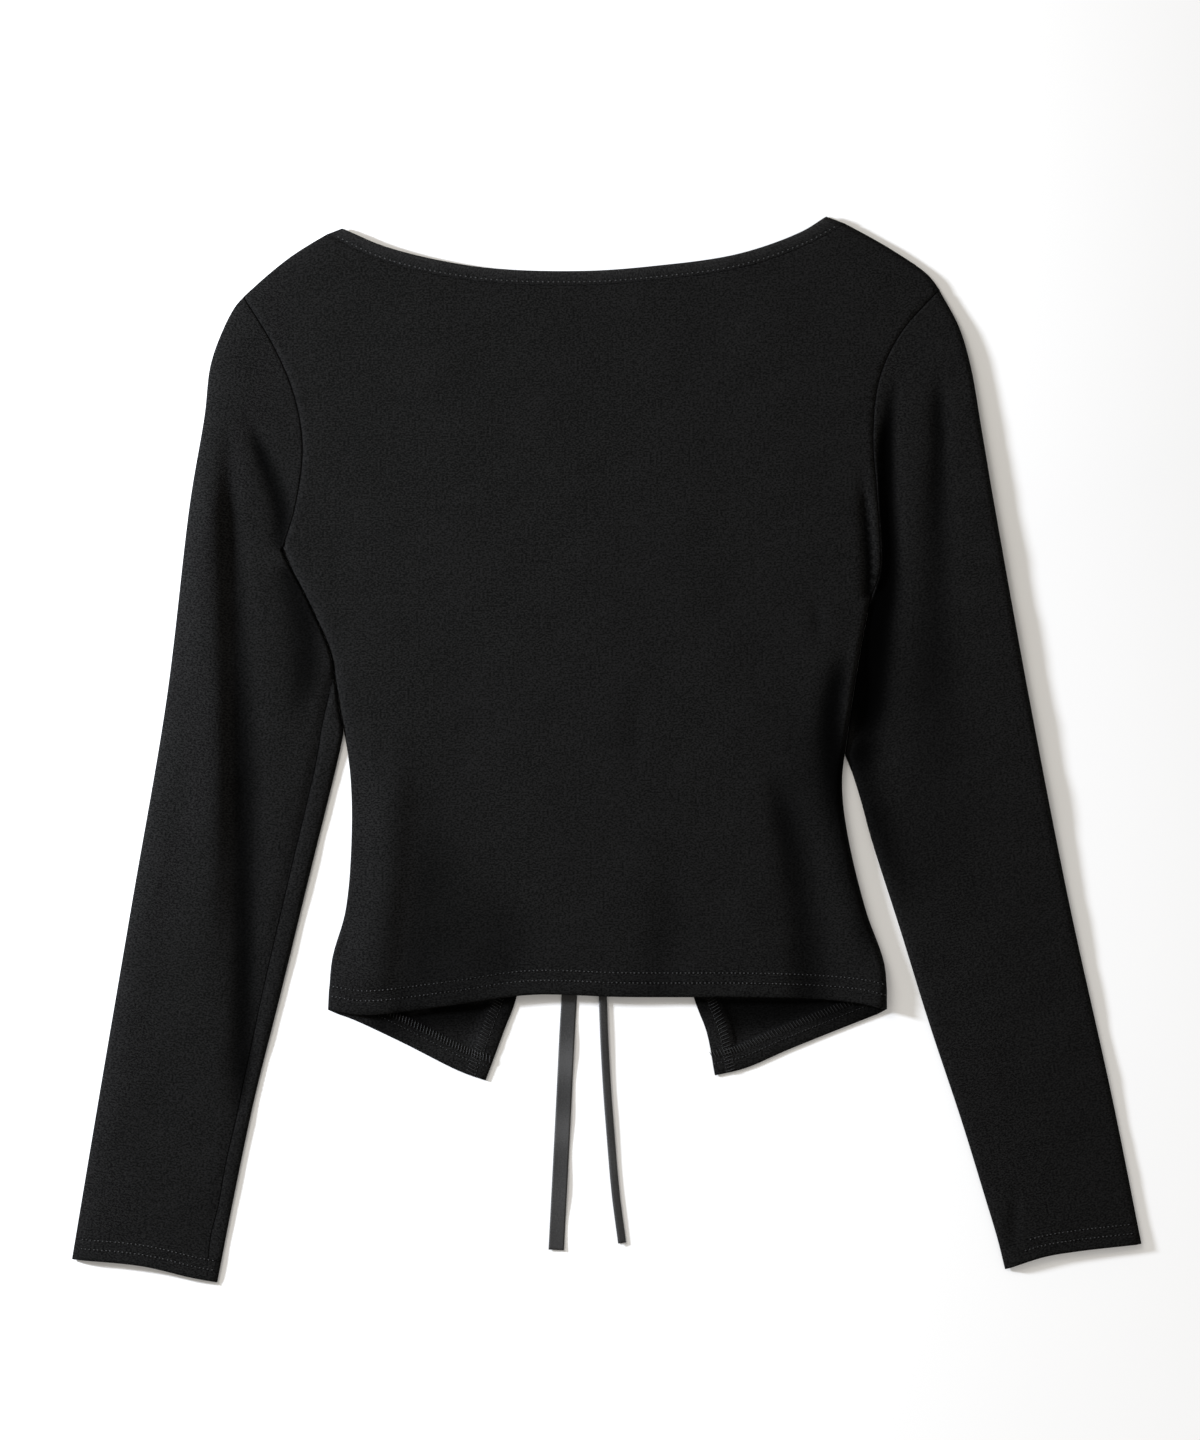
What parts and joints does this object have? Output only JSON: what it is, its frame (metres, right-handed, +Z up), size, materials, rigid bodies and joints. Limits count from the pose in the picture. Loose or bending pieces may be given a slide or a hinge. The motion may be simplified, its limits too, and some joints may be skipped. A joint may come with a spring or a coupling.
{
  "type": "cardigan",
  "caption": "Cropped long-sleeved jersey cardigan with a wide bound neckline and ribbon-tied open fronts, laid flat with its back up.",
  "frame": {"origin": "middle of the garment's width and length as it lies, on the surface it lies on; the loose ribbon tails are not counted", "axes": "+Z up, out of the surface; +Y from the hem towards the neck; +X to the right as the back is seen from above"},
  "size_m": [0.6208, 0.6184, 0.0066],
  "materials": {
    "black_jersey": "matte fine jersey knit",
    "charcoal_satin": "satin weave ribbon"
  },
  "bodies": {
    "root": {"back": "black_jersey", "front_left": "black_jersey", "front_right": "black_jersey", "sleeve_left": "black_jersey", "sleeve_right": "black_jersey", "neck_binding": "black_jersey", "front_binding_left": "black_jersey", "front_binding_right": "black_jersey", "ribbon_left": "charcoal_satin", "ribbon_right": "charcoal_satin", "ribbon_knot": "charcoal_satin"}
  },
  "joints": []
}
